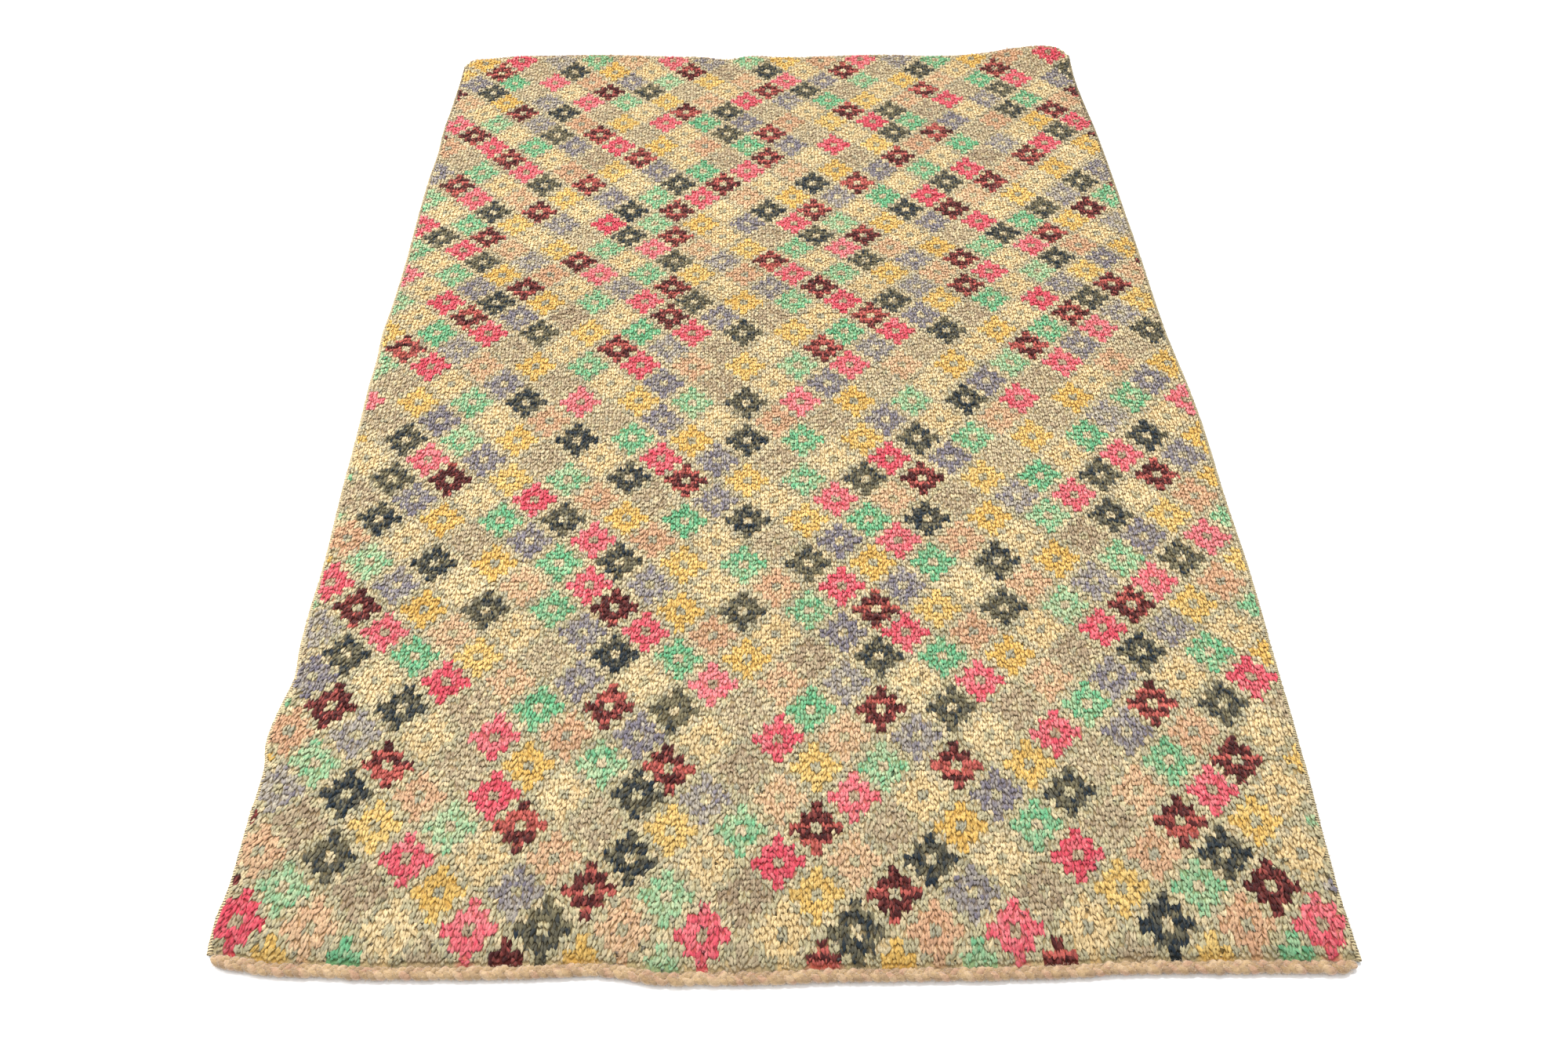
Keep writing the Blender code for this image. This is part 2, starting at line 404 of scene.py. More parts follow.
# %% [markdown]
# Hand-dyed wool is never one colour. Every yarn here has two dye lots, and each knot
# has a share of the second: a whole lozenge leans one way, a single row in it may
# be tied with the other lot, as where rose runs through maroon, and every knot
# differs a little from its neighbours. The ground turns greyer towards the front.
# %% Dye lots
# How much of the second lot comes by the lozenge, by the row in it and by the knot,
# and how much is added to every knot
LOT_MIX = (0.75, 0.35, 0.30, -0.15)
LOT_MIXES = {
    "K": (0.50, 0.50, 0.30, -0.12),
    "T": (0.60, 0.00, 0.50, 0.00),
    "L": (0.60, 0.00, 0.50, 0.00),
    "M": (0.00, 0.00, 0.25, 0.00),
}
ROSE_MIX = (0.00, 0.00, 0.25, 0.75)
ROSE_ROWS = 0.3
LOT_IN_HOLE_OF = {"N": 0.15, "R": 0.85}
ROWS_IN_LOZENGE = 2 * ROWS_PER_STEP
SHADE_ROWS = 5
SPARE_ROWS = 4


def running_mean(values, rows):
    """Each value's mean with its neighbours, without the spare rows at both ends."""
    return np.convolve(values, np.ones(rows) / rows, "same")[SPARE_ROWS:-SPARE_ROWS]


def mixed_lots(by_lozenge, by_row, by_knot, added):
    """The share of the second dye lot in every knot."""
    return by_lozenge * of_lozenge + by_row * of_row + by_knot * knot_lot + added


lozenges = (len(WORDS) + 1) * PLACES
lozenge_lot = chance.random(lozenges)
row_lot = chance.random((lozenges, ROWS_IN_LOZENGE))
knot_lot = chance.random(knots)
of_lozenge = lozenge_lot[knot_lozenge]
of_row = row_lot[knot_lozenge, (knot_row - FIRST_CENTRE) % ROWS_IN_LOZENGE]
row_shade = running_mean(chance.normal(0, 1, KNOT_ROWS + 2 * SPARE_ROWS), SHADE_ROWS)

yarn_letter = letters[knot_yarn]
share = mixed_lots(*LOT_MIX)
for letter, mix in LOT_MIXES.items():
    share[yarn_letter == letter] = mixed_lots(*mix)[yarn_letter == letter]
rose = (yarn_letter == "M") & (of_row < ROSE_ROWS)
share[rose] = mixed_lots(*ROSE_MIX)[rose]
for letter, lot_there in LOT_IN_HOLE_OF.items():
    share[in_hole == letter] = lot_there

# The ground is greyer near the front, in strips of a few rows and in scattered knots
FRONT_STARTS = 0.35
GREY_FAR = 0.10
GREYER_IN_FRONT = 0.55
GREYER_IN_STRIPS = 0.50
STRIP_ROWS = 3
CORAL_REDDER_IN_FRONT = 0.30

ground = yarn_letter == "S"
towards_front = np.clip((FRONT_STARTS - knot_v) / (1 + FRONT_STARTS), 0, 1)
strips = running_mean(chance.random(KNOT_ROWS + 2 * SPARE_ROWS), STRIP_ROWS)
greyness = GREY_FAR + GREYER_IN_FRONT * towards_front
greyness = greyness + GREYER_IN_STRIPS * (strips[knot_row] - 0.5)
greyer = ground & (0.6 * knot_lot + 0.4 * chance.random(knots) < greyness)
knot_yarn[greyer] = LETTERS.index("B")
yarn_letter = letters[knot_yarn]
of_knot = chance.random(int(ground.sum()))
share[ground] = 0.5 * of_row[ground] * (1 - towards_front[ground]) + 0.5 * of_knot
share += CORAL_REDDER_IN_FRONT * towards_front**6 * (yarn_letter == "R")
share = np.clip(share, 0, 1)
print("mean share of the second lot:", round(float(share.mean()), 3))

# %% [markdown]
# A knot shows as two cut yarn ends side by side. They could be a hair system, but
# seen from a step away each is a small soft lock that the weaver pulled down towards
# the front, so that it lies over the row before it like a scale. So a yarn end is a
# spindle: a sphere of three segments and two rings from bmesh, laid on its side, six
# faces in all. One pole is its root, down in the weave, and the other is its tip. Of
# the three points between them one is its crest and two are its sides.
# %% One yarn end
spindle = bmesh.new()
bmesh.ops.create_uvsphere(spindle, u_segments=3, v_segments=2, radius=1.0)
bmesh.ops.triangulate(spindle, faces=spindle.faces)
bmesh.ops.rotate(spindle, verts=spindle.verts, matrix=Matrix.Rotation(np.radians(90), 3, "X"))
spindle.verts.ensure_lookup_table()
roll = np.arctan2(*[max(spindle.verts, key=lambda point: point.co.z).co[i] for i in (0, 2)])
bmesh.ops.rotate(spindle, verts=spindle.verts, matrix=Matrix.Rotation(-roll, 3, "Y"))
end_points = np.array([tuple(point.co) for point in spindle.verts])
end_faces = np.array([[point.index for point in face.verts] for face in spindle.faces])
spindle.free()
is_root = end_points[:, 1] > 0.5
is_tip = end_points[:, 1] < -0.5
is_crest = ~is_root & ~is_tip & (end_points[:, 2] > 0.5)
print("a yarn end has", len(end_points), "points and", len(end_faces), "faces")

# %% [markdown]
# The yarn ends are then laid out by arrays, each with its own height, turn, size and
# tone, as no two cut ends are alike. Towards the front they grow wider and more
# tousled, and the pile is given a little painted shade. The last rows are pushed back
# by the plait that lies against them, and given its painted shadow.
# %% Lay out the yarn ends
PILE_TOP = 11.2 * MM
ROOT_HEIGHT = 8.5 * MM
SIDE_DROP = 1.8 * MM
TIP_DROP = 0.9 * MM
END_APART = 2.5 * MM
END_HALF_WIDTH = 2.2 * MM
ROOT_BEHIND = 4.2 * MM
CREST_BEFORE = 1.2 * MM
SIDES_BEFORE = 2.2 * MM
TIP_BEFORE = 6.4 * MM
ROUGHNESS_OF_END = np.array([0.35, 0.80, 0.36]) * MM
# How far the outer knots lean over the cords, and how soon that fades inwards
SIDE_OVERHANG = 2.8 * MM
SIDE_FADE = 15
FAR_OVERHANG = 2.4 * MM
FAR_FADE = 25

# How much the knots differ, and how much the two ends of a knot do
KNOT_TOP_VARIES = 0.30 * MM
KNOT_TURN = -0.04
KNOT_TURN_VARIES = 0.16
KNOT_SHADE_VARIES = 0.4
ROW_SHADE_VARIES = 0.4
END_TOP_VARIES = 0.50 * MM
END_TURN_VARIES = 0.18
END_SPLAY = 0.16
END_ASIDE_VARIES = 0.55 * MM
END_ALONG_VARIES = 1.7 * MM
END_SHADE_VARIES = 0.5
SPREAD_RANGE = (0.8, 1.2)
WIDTH_RANGE = (0.8, 1.2)
LENGTH_RANGE = (0.85, 1.40)
WOOL_MIXED = {"S": 0.45, "K": 0.55}
OTHER_WOOL_MIXED = 0.38

# Values that change from the far part of the rug to its front, and with what power
FRONT_CHANGES = {
    "tousled": (0.40, 0.90, 2),
    "spread": (1.00, 1.20, 1),
    "width": (1.00, 1.10, 1),
    "relief": (1.00, 0.50, 2),
    "softness": (0.22, 0.47, 2),
    # Painted shade: the pile is dimmed towards the front, most of all in the last rows
    "shade": (0.00, -0.90, 1),
    "painted_shade_of_last_rows": (0.00, -1.05, 6),
}
# What the plait does to the last row, and how fast that fades row by row
PLAIT_CHANGES = {
    "shorter": (0.40, 1.2),
    "pushed_back": (4.0 * MM, 0.6),
    # Painted shadow of the plait on the last rows
    "painted_shadow_of_plait": (1.40, 0.9),
}


def towards(name):
    """One of the values that change towards the front, at every knot."""
    far, front, power = FRONT_CHANGES[name]
    return far + (front - far) * towards_front**power


def by_plait(name):
    """One of the things that the plait does, at every yarn end."""
    most, fade = PLAIT_CHANGES[name]
    return most * np.exp(-fade * (KNOT_ROWS - 1 - knot_row)[knot_of])


row_step = (row_place(knot_row) - row_place(knot_row + 1)) * HALF_LENGTH
mean_step = float(row_step.mean())
knot_top = PILE_TOP + chance.normal(0, KNOT_TOP_VARIES, knots)
knot_turn = chance.normal(KNOT_TURN, KNOT_TURN_VARIES, knots) * towards("tousled")
knot_spread = END_APART * chance.uniform(*SPREAD_RANGE, knots) * towards("spread")
knot_tone_and_painted_shade = np.clip(chance.normal(0, KNOT_SHADE_VARIES, knots), -1, 0.5)
knot_tone_and_painted_shade += ROW_SHADE_VARIES * row_shade[knot_row]
# Painted shade, which deepens towards the front and most in the last rows
knot_tone_and_painted_shade += towards("shade") + towards("painted_shade_of_last_rows")

knot_of = np.repeat(np.arange(knots), 2)
ends = len(knot_of)
side_of = np.tile((-0.5, 0.5), knots)
loose = towards("tousled")[knot_of]
relief = towards("relief")[knot_of]
softness = towards("softness")[knot_of]
top = knot_top[knot_of] + chance.normal(0, END_TOP_VARIES, ends) * relief
turn = knot_turn[knot_of] + chance.normal(0, END_TURN_VARIES, ends) * loose - END_SPLAY * side_of
width = END_HALF_WIDTH * chance.uniform(*WIDTH_RANGE, ends) * towards("width")[knot_of]
length = (row_step / mean_step)[knot_of] * chance.uniform(*LENGTH_RANGE, ends)
length = length * (1 - by_plait("shorter"))
shift_x = side_of * knot_spread[knot_of] + chance.normal(0, END_ASIDE_VARIES, ends) * loose
shift_x += SIDE_OVERHANG * knot_u[knot_of] ** SIDE_FADE
shift_y = chance.normal(0, END_ALONG_VARIES, ends) + by_plait("pushed_back")
shift_y += FAR_OVERHANG * np.maximum(knot_v[knot_of], 0) ** FAR_FADE
shade = np.clip(chance.normal(0, END_SHADE_VARIES, ends), -1.2, 0.3) * relief
# Each end adds its knot's tone and painted shade, less the plait's painted shadow
shade += knot_tone_and_painted_shade[knot_of] - by_plait("painted_shadow_of_plait")
wool_mixed = np.full(knots, OTHER_WOOL_MIXED)
for letter, amount in WOOL_MIXED.items():
    wool_mixed[yarn_letter == letter] = amount
lot = np.clip(share[knot_of] + chance.normal(0, 1, ends) * wool_mixed[knot_of] * relief, 0, 1)
print("yarn ends:", ends)

# %% [markdown]
# Each yarn's ends become one mesh, which keeps the number of objects small and gives
# every yarn a material of its own. The mesh is filled from arrays, because there are
# far too many ends for a loop, and every point is pushed a little out of place.
# Three numbers are stored at each point for the material: how far it is from root to
# top, which sets its painted shade, its tone with the painted shade of the front and of
# the plait, and its share of the second dye lot. Cut wool scatters light and doesn't
# shade like a hard bead, so the normals of the faces that look up lean towards the
# cloth's own.
# %% The pile
# How deep the sides of a yarn end count, for their painted shade
DEPTH_OF_SIDES = 0.4
LOOKS_UP = 0.1


def by_point(root, tip, crest, sides):
    """One value for each point of a yarn end."""
    return np.select([is_root, is_tip, is_crest], [root, tip, crest], sides)


def lay_ends(chosen):
    """The points of these yarn ends, how far up the end each is, and which way is up."""
    u, v = knot_u[knot_of[chosen]], knot_v[knot_of[chosen]]
    across, along, up = ways(u, v)
    cos, sin = np.cos(turn[chosen])[:, None], np.sin(turn[chosen])[:, None]
    x = np.where(is_root | is_tip | is_crest, 0, end_points[:, 0])[None] * width[chosen][:, None]
    y = by_point(ROOT_BEHIND, -TIP_BEFORE, -CREST_BEFORE, -SIDES_BEFORE)[None] * length[chosen][:, None]
    x, y = x * cos - y * sin, x * sin + y * cos
    drop = by_point(0.0, TIP_DROP, 0.0, 0.0)[None]
    drop = drop + by_point(0.0, 0.0, 0.0, SIDE_DROP)[None] * relief[chosen][:, None]
    height = np.where(is_root[None], ROOT_HEIGHT, top[chosen][:, None] - drop)
    depth = by_point(0.0, 1.0, 1.0, DEPTH_OF_SIDES) + np.zeros_like(height)
    # The tips of the last row lie in the shade of the plait, as dark as roots
    depth[:, is_tip] -= (knot_row[knot_of[chosen]] == KNOT_ROWS - 1)[:, None]
    x = x + shift_x[chosen][:, None]
    y = y + shift_y[chosen][:, None]
    rough = chance.normal(0, 1, (len(chosen), len(end_points), 3)) * ROUGHNESS_OF_END
    points = (
        on_cloth(u, v)[:, None]
        + across[:, None] * (x + rough[..., 0])[..., None]
        + along[:, None] * (y + rough[..., 1])[..., None]
        + up[:, None] * (height + rough[..., 2])[..., None]
    )
    return points.reshape(-1, 3), depth.ravel(), np.repeat(up, len(end_points), axis=0)


def joined(name, points, faces):
    """A smooth object from arrays of points and of triangles."""
    mesh = bpy.data.meshes.new(name)
    mesh.vertices.add(len(points))
    mesh.vertices.foreach_set("co", points.astype(np.float32).ravel())
    mesh.loops.add(faces.size)
    mesh.loops.foreach_set("vertex_index", faces.astype(np.int32).ravel())
    mesh.polygons.add(len(faces))
    mesh.polygons.foreach_set("loop_start", np.arange(0, faces.size, 3, dtype=np.int32))
    mesh.update(calc_edges=True)
    mesh.shade_smooth()
    piece = bpy.data.objects.new(name, mesh)
    bpy.context.scene.collection.objects.link(piece)
    return piece


def soften(piece, points, faces, cloth_up, share_of_cloth):
    """Lean the shading of the faces that look up towards the cloth's own normal."""
    first, second, third = (points[faces[:, i]] for i in range(3))
    facing = unit(np.cross(second - first, third - first))
    on_top = dot(facing, cloth_up[faces[:, 0]]) > LOOKS_UP
    own = np.empty(cloth_up.size)
    piece.data.vertices.foreach_get("normal", own)
    own = own.reshape(-1, 3)
    leaning = own + (cloth_up - own) * share_of_cloth[:, None]
    leaning /= np.linalg.norm(leaning, axis=1)[:, None]
    at_corners = np.where(on_top[:, None], leaning[faces], own[faces])
    piece.data.normals_split_custom_set(at_corners.reshape(-1, 3))


def store(piece, name, values):
    """One number at each point of the mesh, for its material."""
    attribute = piece.data.attributes.new(name, "FLOAT", "POINT")
    attribute.data.foreach_set("value", values.astype(np.float32))


def make_pile(number, name):
    """All the knots of one yarn, as one piece."""
    chosen = np.flatnonzero(knot_yarn[knot_of] == number)
    points, depth, cloth_up = lay_ends(chosen)
    first = np.arange(len(chosen)) * len(end_points)
    faces = (end_faces[None] + first[:, None, None]).reshape(-1, 3)
    piece = joined(name, points, faces)
    soften(piece, points, faces, cloth_up, np.repeat(softness[chosen], len(end_points)))
    store(piece, "depth", depth)
    store(piece, "shade", np.repeat(shade[chosen], len(end_points)))
    store(piece, "lot", np.repeat(lot[chosen], len(end_points)))
    return piece


pile = {}
for number, row in enumerate(YARNS):
    pile[row[0]] = make_pile(number, "pile_" + row[1])
    print(pile[row[0]].name, len(pile[row[0]].data.polygons), "triangles")

# %% [markdown]
# Under the tufts lies the knotted ground: warps, wefts and the wrapped bases of the
# knots, which show as the same pattern on the back. It could be one thin sheet, but
# a closed slab gives the back a surface of its own. It is a grid with one face for
# every two knots in a row, extruded upwards, and the yarn of each knot colours its
# corner.
# %% The knotted ground
GROUND_THICKNESS = 8.3 * MM
# The share of the layout's width that the top takes, and where the back starts
LAYOUT_SHARE = 0.49
BACK_STARTS = 0.51


def linear(colour):
    """A colour as seen on a screen, 0 to 255, as the shader wants it."""
    c = np.array(colour) / 255
    return np.where(c <= 0.04045, c / 12.92, ((c + 0.055) / 1.055) ** 2.4)


def make_ground():
    slab = bmesh.new()
    bmesh.ops.create_grid(slab, x_segments=KNOTS_ACROSS // 2, y_segments=KNOT_ROWS, size=1.0)
    back = slab.faces[:]
    grown = bmesh.ops.extrude_face_region(slab, geom=back, use_keep_orig=True)
    for point in [g for g in grown["geom"] if isinstance(g, bmesh.types.BMVert)]:
        point.co.z = 1.0
    bmesh.ops.recalc_face_normals(slab, faces=slab.faces)
    mesh = bpy.data.meshes.new("knotted_ground")
    slab.to_mesh(mesh)
    slab.free()
    return mesh


ground_mesh = make_ground()
flat = np.empty(len(ground_mesh.vertices) * 3)
ground_mesh.vertices.foreach_get("co", flat)
flat = flat.reshape(-1, 3)
flat_u, flat_v = flat[:, 0], row_place((1 - flat[:, 1]) / 2 * KNOT_ROWS)
placed = on_cloth(flat_u, flat_v) + ways(flat_u, flat_v)[2] * flat[:, 2:3] * GROUND_THICKNESS
ground_mesh.vertices.foreach_set("co", placed.ravel())

# Which knot is at each corner of each face
corner = np.empty(len(ground_mesh.loops), dtype=int)
ground_mesh.loops.foreach_get("vertex_index", corner)
corners = flat[corner].reshape(-1, 4, 3)
middle = corners.mean(1)
left_column = np.clip((middle[:, 0] + 1) / 2 * KNOTS_ACROSS // 2 * 2, 0, KNOTS_ACROSS - 2)
on_right = corners[..., 0] > middle[:, None, 0]
row_here = np.clip((1 - middle[:, 1]) / 2 * KNOT_ROWS, 0, KNOT_ROWS - 1).astype(int)
knot_here = row_here[:, None] * KNOTS_ACROSS + left_column[:, None].astype(int) + on_right
first_lots = np.array([linear(row[2]) for row in YARNS])[knot_yarn]
second_lots = np.array([linear(row[3]) for row in YARNS])[knot_yarn]
knot_colour = first_lots + (second_lots - first_lots) * share[:, None]
colours = np.ones((corners.shape[0] * 4, 4))
colours[:, :3] = knot_colour[knot_here.ravel()]
ground_mesh.color_attributes.new("yarn", "FLOAT_COLOR", "CORNER")
ground_mesh.color_attributes["yarn"].data.foreach_set("color", colours.ravel())

# The back is laid out beside the top, so that each has its own place
top_face = middle[:, 2] > 0.9
laid = (corners[..., :2] + 1) / 2 * (LAYOUT_SHARE, 1.0)
laid[..., 0] += np.where(top_face, 0.0, BACK_STARTS)[:, None]
ground_mesh.uv_layers.new(name="OFBake")
ground_mesh.uv_layers["OFBake"].data.foreach_set("uv", laid.ravel())
ground_mesh.polygons.foreach_set("material_index", np.where(top_face, 0, 1))
ground_mesh.shade_smooth()
knotted_ground = bpy.data.objects.new("knotted_ground", ground_mesh)
bpy.context.scene.collection.objects.link(knotted_ground)
print("ground:", len(ground_mesh.polygons), "faces")

# %% [markdown]
# The sides are overcast: wool thread is wound round the outer warps, light and dark
# by turns, and pulls them into a ribbed cord. A plain tube with a striped bump would
# do from afar, but each turn also stands out in the outline, so the ribs are made.
# The cord is a grid from bmesh, rolled round the edge line, welded along its seam
# and closed at both ends. The same roll serves for the plaited ends.
# %% Overcast sides
WRAP = 3.4 * MM
RINGS_PER_WRAP = 3
WRAP_SIDES = 8
GROOVE_SIZE = 0.80
RIB_SIZE = 1.03
RIB_VARIES = 0.035
CORD_END_SIZE = 0.70
WRAP_SLANT = 0.35


def run_of(line):
    """The distance along a line at each of its points."""
    steps = np.linalg.norm(np.diff(line, axis=0), axis=1)
    return np.concatenate([[0.0], np.cumsum(steps)])


def read_along(line, vectors, at):
    """Vectors that are given along a line, read at these distances along it."""
    run = run_of(line)
    return np.stack([np.interp(at, run, vectors[:, i]) for i in range(3)], axis=-1)


def rolled(name, rings, sides, place):
    """A closed tube, from a grid that is rolled up. place takes ring and side numbers."""
    tube = bmesh.new()
    bmesh.ops.create_grid(tube, x_segments=rings - 1, y_segments=sides, size=0.5)
    grid = np.array([tuple(point.co) for point in tube.verts])[:, :2] + 0.5
    points = place(np.rint(grid[:, 0] * (rings - 1)).astype(int), grid[:, 1] * sides)
    layer = tube.loops.layers.uv.new("OFBake")
    for face in tube.faces:
        for loop in face.loops:
            loop[layer].uv = grid[loop.vert.index]
    for point, place_now in zip(tube.verts, points):
        point.co = place_now
    bmesh.ops.remove_doubles(tube, verts=tube.verts, dist=0.01 * MM)
    bmesh.ops.holes_fill(tube, edges=[e for e in tube.edges if e.is_boundary], sides=0)
    bmesh.ops.recalc_face_normals(tube, faces=tube.faces)
    mesh = bpy.data.meshes.new(name)
    tube.to_mesh(mesh)
    tube.free()
    mesh.shade_smooth()
    piece = bpy.data.objects.new(name, mesh)
    bpy.context.scene.collection.objects.link(piece)
    return piece


def make_selvage(name):
    u, v, radius = edges[name]
    line, outward, up = beside(u, v, radius)
    line = line - CENTRE
    long = run_of(line)[-1]
    rings = int(long / WRAP) * RINGS_PER_WRAP
    at = np.linspace(0, long, rings)
    centre, outward, up = (read_along(line, x, at) for x in (line, outward, up))
    forward = unit(np.gradient(centre, axis=0))
    rib = np.where(np.arange(rings) % RINGS_PER_WRAP == 0, GROOVE_SIZE, RIB_SIZE)
    wound = chance.normal(1.0, RIB_VARIES, rings // RINGS_PER_WRAP + 1)
    rib = rib * np.repeat(wound, RINGS_PER_WRAP)[:rings]
    rib[[0, -1]] = CORD_END_SIZE

    def place(ring, side):
        angle = 2 * np.pi * side / WRAP_SIDES
        out, high = np.cos(angle)[:, None], np.sin(angle)[:, None]
        around = outward[ring] * out + up[ring] * high - forward[ring] * WRAP_SLANT * out
        return centre[ring] + around * (radius * rib[ring])[:, None]

    piece = rolled(name.replace("selvage", "overcast"), rings, WRAP_SIDES, place)
    print(piece.name, len(piece.data.polygons), "faces,", round(long, 3), "m")
    return piece


overcast = {name: make_selvage(name) for name in ("selvage_left", "selvage_right")}

# %% [markdown]
# At each end the warps are plaited into a thick cord of three strands that lies
# against the last row of knots. Each strand weaves from side to side and over and
# under, a third of a turn behind the one before, and is rolled up in the same way as
# the sides. Its thickness wanders a little, because it is only twisted wool.
# %% Plaited ends
STRANDS = 3
STRAND_SIDES = 6
PLAIT_PITCH = 27 * MM
PLAIT_STEPS = 620
CLOSING_RUN = 12 * MM
STRAND_END_SIZE = 0.35
# How thick each strand is, how far it swings and rises, and how far in the plait lies
PLAITS_MM = {
    "end_cord_front": {"strand": 4.2, "swing": 3.8, "rise": 1.1, "inward": 1.4},
    "end_cord_back": {"strand": 1.7, "swing": 1.7, "rise": 1.1, "inward": 2.8},
}
# How many metres lie between the stops of what wanders, and how much it wanders
TURN_WANDERS = (0.050, 0.50)
THICKNESS_WANDERS = (0.009, 0.13)


def plait_line(name):
    """The middle of an end cord and its ways outward and up, at even steps."""
    u, v, radius = edges[name]
    line, outward, up = beside(u, v, radius)
    inward = PLAITS_MM[name]["inward"] * MM
    line = line - CENTRE - outward * inward - up * inward * 0.5
    at = np.linspace(0, run_of(line)[-1], PLAIT_STEPS)
    return [read_along(line, x, at) for x in (line, outward, up)] + [at]


def wandering(at, spacing, amount):
    """A number that wanders slowly along a cord."""
    stops = np.arange(0, at[-1] + 2 * spacing, spacing)
    return np.interp(at, stops, chance.normal(0, amount, len(stops)))


def make_strand(name, number):
    strand, swing, rise = (PLAITS_MM[name][key] * MM for key in ("strand", "swing", "rise"))
    centre, outward, up, at = plait_line(name)
    turn_now = 2 * np.pi * (at / PLAIT_PITCH + number / STRANDS) + wandering(at, *TURN_WANDERS)
    closing = np.clip(np.minimum(at, at[-1] - at) / CLOSING_RUN, 0, 1) ** 0.5
    aside = swing * np.sin(turn_now) * closing
    raised = rise * np.sin(2 * turn_now) * closing
    middle = centre + outward * aside[:, None] + up * raised[:, None]
    forward = unit(np.gradient(middle, axis=0))
    first = unit(up - forward * dot(up, forward))
    second = np.cross(forward, first)
    thick = strand * (1 + wandering(at, *THICKNESS_WANDERS))
    thick = thick * (STRAND_END_SIZE + (1 - STRAND_END_SIZE) * closing)

    def place(ring, side):
        angle = 2 * np.pi * side / STRAND_SIDES
        around = first[ring] * np.cos(angle)[:, None] + second[ring] * np.sin(angle)[:, None]
        points = middle[ring] + around * thick[ring][:, None]
        # Soft wool flattens on the floor
        points[:, 2] = np.maximum(points[:, 2], 0.0)
        return points

    new = name.replace("end_cord", "plait") + "_" + str(number + 1)
    return rolled(new, len(at), STRAND_SIDES, place)


plaits = {
    name: [make_strand(name, number) for number in range(STRANDS)]
    for name in ("end_cord_front", "end_cord_back")
}
for name, strands in plaits.items():
    print(name, "plaited from", len(strands), "strands of", len(strands[0].data.polygons), "faces")

# %% [markdown]
# The cords are furry with loose wool, which softens their outline. A hair system
# would not come with the part, so each hair is a thin cone of three sides from
# bmesh, and arrays stand a few thousand of them on each cord. Those on the plaits
# lean along the strands, and those on the sides stick out like small teeth.
# %% Loose wool on the cords
# For the hairs of each kind of cord: how many, their length and half width, the
# angles that they stand between, in half turns, and how far they lean
HAIRS = {
    "plait": (6400, 6.0 * MM, 0.20 * MM, (-0.35, 1.15), 1.6),
    "side": (2800, 4.0 * MM, 0.36 * MM, (-0.10, 0.60), 0.5),
}
HAIR_STRAYS = 0.3
HAIR_ROOT_RANGE = (0.62, 0.88)
HAIR_LENGTH_RANGE = (0.5, 1.0)
HAIR_OFF_FLOOR = 0.2 * MM
HAIRS_OUT_TO = 0.9

cone = bmesh.new()
bmesh.ops.create_cone(cone, cap_ends=True, segments=3, radius1=1.0, radius2=0.0, depth=1.0)
bmesh.ops.remove_doubles(cone, verts=cone.verts, dist=0.001)
bmesh.ops.triangulate(cone, faces=cone.faces)
cone_points = np.array([tuple(point.co) for point in cone.verts]) + (0, 0, 0.5)
cone_faces = np.array([[point.index for point in face.verts] for face in cone.faces])
cone.free()


def stand_hairs(name, kind, line, outward, up, size):
    """Short hairs that stand on a cord between two angles and lean along it."""
    number, long, wide, spread, lean_most = HAIRS[kind]
    i = chance.integers(4, len(line) - 4, number)
    angle = chance.uniform(*spread, number) * np.pi
    side = outward[i] * np.cos(angle)[:, None] + up[i] * np.sin(angle)[:, None]
    forward = unit(np.gradient(line, axis=0))[i]
    lean = forward * chance.uniform(-lean_most, lean_most, number)[:, None]
    tip_way = unit(side + lean + chance.normal(0, HAIR_STRAYS, (number, 3)))
    across = unit(np.cross(tip_way, side + 0.01))
    other = np.cross(tip_way, across)
    root = line[i] + side * size * chance.uniform(*HAIR_ROOT_RANGE, number)[:, None]
    a, b, h = cone_points.T
    reach = long * chance.uniform(*HAIR_LENGTH_RANGE, number)
    points = (
        root[:, None]
        + across[:, None] * (a * wide)[None, :, None]
        + other[:, None] * (b * wide)[None, :, None]
        + tip_way[:, None] * (h[None] * reach[:, None])[..., None]
    )
    points[..., 2] = np.maximum(points[..., 2], HAIR_OFF_FLOOR)
    first = np.arange(number) * len(cone_points)
    faces = (cone_faces[None] + first[:, None, None]).reshape(-1, 3)
    return joined(name, points.reshape(-1, 3), faces)


def hairs_on_plait(name):
    line, outward, up, at = plait_line(name)
    size = (PLAITS_MM[name]["strand"] + PLAITS_MM[name]["swing"]) * HAIRS_OUT_TO * MM
    return stand_hairs(name.replace("end_cord", "loose_wool"), "plait", line, outward, up, size)


def hairs_on_side(name):
    u, v, radius = edges[name]
    line, outward, up = beside(u, v, radius)
    new = name.replace("selvage", "loose_thread")
    return stand_hairs(new, "side", line - CENTRE, outward, up, radius)


hairs = {name: hairs_on_plait(name) for name in plaits}
side_hairs = {name: hairs_on_side(name) for name in overcast}

# %% [markdown]
# Wool is matte, with a soft glow where its fibres catch the light from the side, so
# its shader is rough with a little sheen. The colour mixes the two dye lots, is
# lightened or dimmed by each knot's tone and painted shade, is darkened and browned
# towards the root as painted shade, and has fine streaks for the fibres, which also
# raise a small bump.
# %% Wool materials
WOOL_SPECULAR = 0.12
SHEEN_ROUGHNESS = 0.5
EVEN = (1.0, 1.0, 1.0)


def paint_of(colour):
    return tuple(linear(colour)) + (1.0,)


def node(tree, kind, **settings):
    made = tree.nodes.new(kind)
    for name, value in settings.items():
        setattr(made, name, value)
    return made


